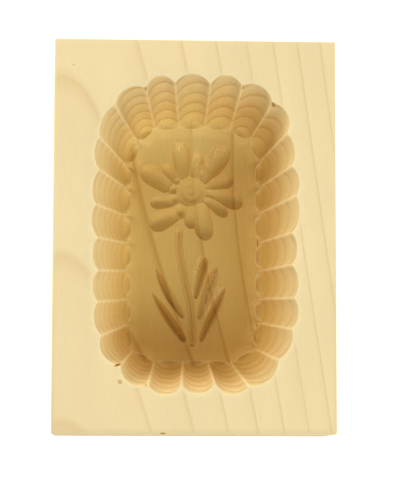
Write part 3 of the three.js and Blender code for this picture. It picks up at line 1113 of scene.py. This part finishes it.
def ring_group():
    """Growth rings: a ring's number, how far through it a place is and the line that ends it."""
    outputs = [(name, "Float") for name in ("Number", "Through", "Line")]
    tree, wire = node_group("growth rings", "ShaderNodeTree", RING_INPUTS, outputs)
    given = wire.given()
    x, y, z = wire.parts(given["Place"])
    aside = (x - (y * PITH["lean_x"] + PITH["x"])) * PITH["flattening"]
    rise = y * (y * PITH["bow_z"] + PITH["lean_z"])
    spread = (BLOCK_HIGH.z - RING_FLOOR) / (BLOCK_HIGH.z - RING_FLOOR_REACH)
    lowest = (given["Carved"] - 1) * BLOCK_HIGH.z
    level = wire.math("MAXIMUM", z - RING_FLOOR_REACH, lowest) * spread + RING_FLOOR
    below = rise + (PITH["above_face"] + BLOCK_HIGH.z) - level
    turn = wire.math("MAXIMUM", PITH["turn_from_x"] - x, 0)
    radius = wire.math("SQRT", aside * aside + below * below) + turn * turn * PITH["turn_back"]
    waves = wire.noise(given["Place"], 90, 2, along=0.25) - 0.5
    radius = radius + waves * given["Wobble"] * 2
    rings = (radius - PITH["first_ring"]) / given["Spacing"]
    drift = x * RING_DRIFT["x"] + RING_DRIFT["everywhere"] + y * RING_DRIFT["y"]
    drift = drift + x * y * RING_DRIFT["x_y"] + y * y * RING_DRIFT["y_y"]
    sunk = (BLOCK_HIGH.z - level) / (BLOCK_HIGH.z - RING_FLOOR)
    grown = rings * rings * PITH["growth"] + rings + drift * sunk
    number = wire.math("FLOOR", grown)
    through = grown - number
    before = wire.clamp((1 - through) * wire.blend(given["Softness"], 8, 3.5))
    after = wire.clamp(through * wire.blend(given["Softness"], 20, 8))
    line = wire.math("MAXIMUM", (1 - before) ** 1.5, 1 - after)
    wire.node("NodeGroupOutput", {"Number": number, "Through": through, "Line": line})
    return tree


def fibre_group():
    """Fine fibres, soft clouds and flecks along the grain."""
    outputs = [(name, "Float") for name in ("Fibre", "Cloud", "Fleck")]
    tree, wire = node_group(
        "wood fibres", "ShaderNodeTree", [("Place", "Vector", None)], outputs)
    place = wire.given()["Place"]
    wire.node("NodeGroupOutput", {
        "Fibre": wire.noise(place, 2600, 3, along=0.04),
        "Cloud": wire.noise(place, 60, 3, along=0.35),
        "Fleck": wire.clamp((wire.noise(place, 1500, 1, along=0.12) - 0.62) * 6),
    })
    return tree


def end_grain_share(wire):
    """How far a surface runs across the grain, from 0 to 1."""
    _, along, _ = wire.parts(wire.value("ShaderNodeTexCoord", output="Normal"))
    return wire.clamp(wire.math("ABSOLUTE", along) * 1.3)


def mark_share(wire, place):
    """How near a place is to a nick or knot, from 0 to 1."""
    total = 0
    for mark in MARKS:
        mapped = wire.value("ShaderNodeMapping", {
            "Vector": place,
            "Location": [value * MM for value in mark["place"]],
            "Rotation": (0, 0, math.radians(mark["turn"])),
            "Scale": [value * MM for value in (*mark["half"], MARK_HALF_HEIGHT)],
        }, vector_type="TEXTURE")
        near = wire.clamp((1.25 - wire.vector("LENGTH", mapped, output=1)) * 2)
        total = wire.math("MAXIMUM", total, near * mark["dark"])
    return total


def stored(wire, name):
    """A value that mark_surfaces stored on the mesh."""
    return wire.value("ShaderNodeAttribute", output="Fac", attribute_name=name)


def ring_tone(wire, rings, place, carved, wall, end_grain):
    """How dark the rings are: their late wood, and the line, which is faint by the flower."""
    x, y, _ = wire.parts(place)
    by_flower = wire.ramp(y, *FLOWER_END)
    in_middle = wire.ramp(wire.math("ABSOLUTE", x) * -1, *FLOWER_SIDE)
    floor_line = wire.blend(by_flower * in_middle * carved, 0.5, 0.14)
    line = wire.blend(wall, wire.blend(carved, 0.26, floor_line), end_grain * 0.24 + 0.08)
    chance = wire.value("ShaderNodeTexWhiteNoise", {"W": rings["Number"]}, "Value",
                        noise_dimensions="1D")
    late_wood = rings["Through"] ** 2 * (end_grain * 0.25 + 0.08)
    return late_wood + rings["Line"] * line * (chance * 0.5 + 0.75)


def painted_deep_light_and_shade(wire, finish, colour, place, carved, sunk):
    """Painted shade on the deep cut wood towards +X and -Y, and painted light on it towards +Y."""
    x, y, _ = wire.parts(place)
    shade_share = wire.math("MAXIMUM", wire.ramp(x, *PAINTED_SHADE_SIDE), wire.ramp(y * -1, *PAINTED_SHADE_END))
    shade_share = shade_share * wire.clamp(sunk * 1.6) * carved
    colour = wire.mix(shade_share, colour, finish.heart_colour, "MULTIPLY")
    light_share = wire.ramp(y, *PAINTED_LIGHT_END) * wire.clamp(sunk * 3 - 2) * carved
    return wire.mix(light_share, colour, finish.sap_colour, "MULTIPLY")


def maple_material(finish):
    """Bare maple: sanded outside, cut with a gouge inside, with what the cutting left."""
    material, wire, shader = new_material("bare_maple")
    place = wire.value("ShaderNodeTexCoord", output="Object")
    _, _, z = wire.parts(place)
    carved, torn, stain, arris = (
        stored(wire, name) for name in ("carved", "torn", "stain", "arris"))
    wall = carved * wire.ramp(z, RING_FLOOR_REACH, 3 * MM)
    sunk = wire.clamp((BLOCK_HIGH.z - z) / COLOUR_DEPTH)
    across_grain = end_grain_share(wire)
    end_grain = across_grain * carved
    rings = wire.group(ring_group(), {
        "Place": place, "Spacing": finish.ring_spacing, "Softness": wall, "Carved": carved})
    fibres = wire.group(fibre_group(), {"Place": place})

    outside = wire.mix(across_grain, finish.face_colour, finish.end_colour)
    inside = wire.mix(sunk, finish.rim_colour, finish.floor_colour)
    colour = wire.mix(carved, outside, inside)
    dark = ring_tone(wire, rings, place, carved, wall, end_grain)
    colour = wire.mix(dark, colour, finish.ring_colour, "MULTIPLY")
    # Painted shade towards +X and -Y and painted light towards +Y on the deep cut wood.
    colour = painted_deep_light_and_shade(wire, finish, colour, place, carved, sunk)

    cloud = fibres["Cloud"] * 0.12 + 0.94
    fibre = (fibres["Fibre"] - 0.5) * (carved * 0.14 + 0.03) + 1
    pore = (wire.noise(place, 1300, 1) - 0.5) * (end_grain * 0.18 + 0.04) + 1
    colour = wire.vector("SCALE", colour, cloud * fibre * pore)
    colour = wire.mix(fibres["Fleck"] * 0.1, colour, finish.fleck_colour)

    splinters = wire.noise(place, 1600, 1, along=0.25) - 0.5
    colour = wire.mix(torn * 0.25, colour, finish.torn_colour)
    colour = wire.vector("SCALE", colour, splinters * torn * 0.85 + 1)
    # Painted shade in the bottoms of the leaves and along the stem.
    colour = wire.mix(stain * 0.5, colour, finish.stain_colour, "MULTIPLY")
    # Painted highlight on the outward edges, ridges and rim, fainter deeper down.
    colour = wire.mix(arris * (sunk * -0.35 + 0.7), colour, finish.arris_colour)
    mark = wire.mix(mark_share(wire, place), (1, 1, 1), finish.mark_colour)
    colour = wire.vector("MULTIPLY", colour, wire.vector("MULTIPLY", mark, mark))

    relief = fibres["Fibre"] * (0.05 * MM)
    bump = {"Height": relief, "Distance": 1, "Strength": 0.6}
    wire.feed(shader, {
        "Base Color": colour,
        "Roughness": torn * 0.2 + 0.56,
        "Specular IOR Level": carved * -0.22 + 0.3,
        "Normal": wire.value("ShaderNodeBump", bump),
    })
    return material


def floor_material(stage):
    """Pale floor that the camera sees as white, with the block's soft shadow kept."""
    material, wire, shader = new_material("pale_floor")
    rays = ("Is Camera Ray", "Is Glossy Ray", "Is Transmission Ray")
    seen = 0
    for ray in rays:
        seen = wire.math("MAXIMUM", seen, wire.value("ShaderNodeLightPath", output=ray))
    wire.feed(shader, {
        "Base Color": (*stage.floor_colour, 1),
        "Roughness": 0.9,
        "Specular IOR Level": 0,
        "Emission Color": (1, 1, 1, 1),
        "Emission Strength": seen * 0.85,
    })
    return material


# The lamps, named as the settings of their power: how far each is turned from -Y towards +X
# and how far it is tilted up, in degrees. All have one width and one distance, in metres.
LAMPS = {
    "upper_right_lamp": (135, 16),
    "upper_left_lamp": (225, 16),
    "lower_right_lamp": (45, 28),
    "front_lamp": (0, 34),
}
LAMP_WIDTH = 0.6
LAMP_DISTANCE = 1.3


def soft_lamp(name, power):
    """A round lamp aimed at the middle of the carved face."""
    turn, tilt = (math.radians(angle) for angle in LAMPS[name])
    flat = math.cos(tilt)
    towards = Vector((math.sin(turn) * flat, -math.cos(turn) * flat, math.sin(tilt)))
    lamp = bpy.data.lights.new(name, "AREA")
    lamp.shape = "DISK"
    lamp.size = LAMP_WIDTH
    lamp.energy = power
    item = add_item(name, lamp)
    item.location = Vector((0, 0, BLOCK_HIGH.z)) + towards * LAMP_DISTANCE
    item.rotation_euler = towards.to_track_quat("Z", "Y").to_euler()


# The photograph's camera: its place in metres, its turns in degrees and its focal length
# in pixels of a frame 407 wide.
CAMERA_PLACE = (-36.93 * MM, -95.25 * MM, 844.33 * MM)
CAMERA_TURNS = (-6.364, 2.874, -0.445)
CAMERA_FOCAL_PIXELS = 2000
FRAME_WIDTH_PIXELS = 407
SENSOR_WIDTH = 36.0


def photo_camera():
    camera = bpy.data.cameras.new("camera")
    camera.sensor_fit = "HORIZONTAL"
    camera.sensor_width = SENSOR_WIDTH
    camera.lens = CAMERA_FOCAL_PIXELS / FRAME_WIDTH_PIXELS * SENSOR_WIDTH
    camera.clip_start = 0.01
    item = add_item("camera", camera)
    world_to_camera = Matrix.Identity(3)
    for turn, axis in zip(CAMERA_TURNS, "XYZ"):
        world_to_camera = Matrix.Rotation(math.radians(turn), 3, axis) @ world_to_camera
    item.rotation_euler = world_to_camera.transposed().to_euler()
    item.location = CAMERA_PLACE
    bpy.context.scene.camera = item


class MOULD_OT_block(bpy.types.Operator):
    """Carves the block: scoops, floor and flower in one piece"""

    bl_idname = "mould.block"
    bl_label = "Carve the block"

    def execute(self, context):
        shape = context.scene.mould_shape
        material = maple_material(context.scene.maple_finish)
        wall = scoop_wall(shape, material)
        loops = sorted(border_loops(wall), key=lambda loop: loop[0].z)
        foot_loop, rim_loop = loops[0], loops[-1]
        block = outer_block(shape)
        outer_loop = border_loops(block)[0]
        floor = carved_floor(shape, foot_loop)
        face = carved_face(rim_loop, outer_loop)
        mesh = join_meshes("carved_block", [wall, floor, face, block])
        mark_surfaces(shape, mesh)
        mesh.materials.clear()
        mesh.materials.append(material)
        piece = add_item("carved_block", mesh)
        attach(piece, "root")
        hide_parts("mould_block")
        return {"FINISHED"}


class MOULD_OT_stage(bpy.types.Operator):
    """Makes the floor, the lamps and the camera"""

    bl_idname = "mould.stage"
    bl_label = "Set the stage"

    def execute(self, context):
        stage = context.scene.studio_stage
        bpy.ops.mesh.primitive_plane_add(size=6)
        floor = context.object
        floor.name = "floor"
        floor.data.materials.append(floor_material(stage))
        for name in LAMPS:
            soft_lamp(name, getattr(stage, name))
        world = bpy.data.worlds.new("studio")
        context.scene.world = world
        world.use_nodes = True
        background = world.node_tree.nodes["Background"]
        background.inputs["Color"].default_value = (1, 1, 1, 1)
        background.inputs["Strength"].default_value = stage.sky
        context.scene.view_settings.view_transform = "Standard"
        photo_camera()
        return {"FINISHED"}


class MOULD_PT_panel(bpy.types.Panel):
    """Lists the steps that make the butter mould"""

    bl_idname = "MOULD_PT_panel"
    bl_label = "Butter mould"
    bl_space_type = "VIEW_3D"
    bl_region_type = "UI"
    bl_category = "Butter mould"

    def draw(self, context):
        for settings, group in SETTINGS.items():
            column = self.layout.column()
            for name in group.__annotations__:
                column.prop(getattr(context.scene, settings), name)
        self.layout.operator(MOULD_OT_block.bl_idname)
        self.layout.operator(MOULD_OT_stage.bl_idname)


CLASSES = (MouldShape, MapleFinish, StudioStage, MOULD_OT_block, MOULD_OT_stage, MOULD_PT_panel)
SETTINGS = {"mould_shape": MouldShape, "maple_finish": MapleFinish, "studio_stage": StudioStage}


def register():
    for item in CLASSES:
        bpy.utils.register_class(item)
    for name, group in SETTINGS.items():
        setattr(bpy.types.Scene, name, PointerProperty(type=group))


def unregister():
    for name in SETTINGS:
        delattr(bpy.types.Scene, name)
    for item in reversed(CLASSES):
        bpy.utils.unregister_class(item)


def main():
    register()
    bpy.ops.mould.block()
    bpy.ops.mould.stage()


if __name__ == "__main__":
    main()
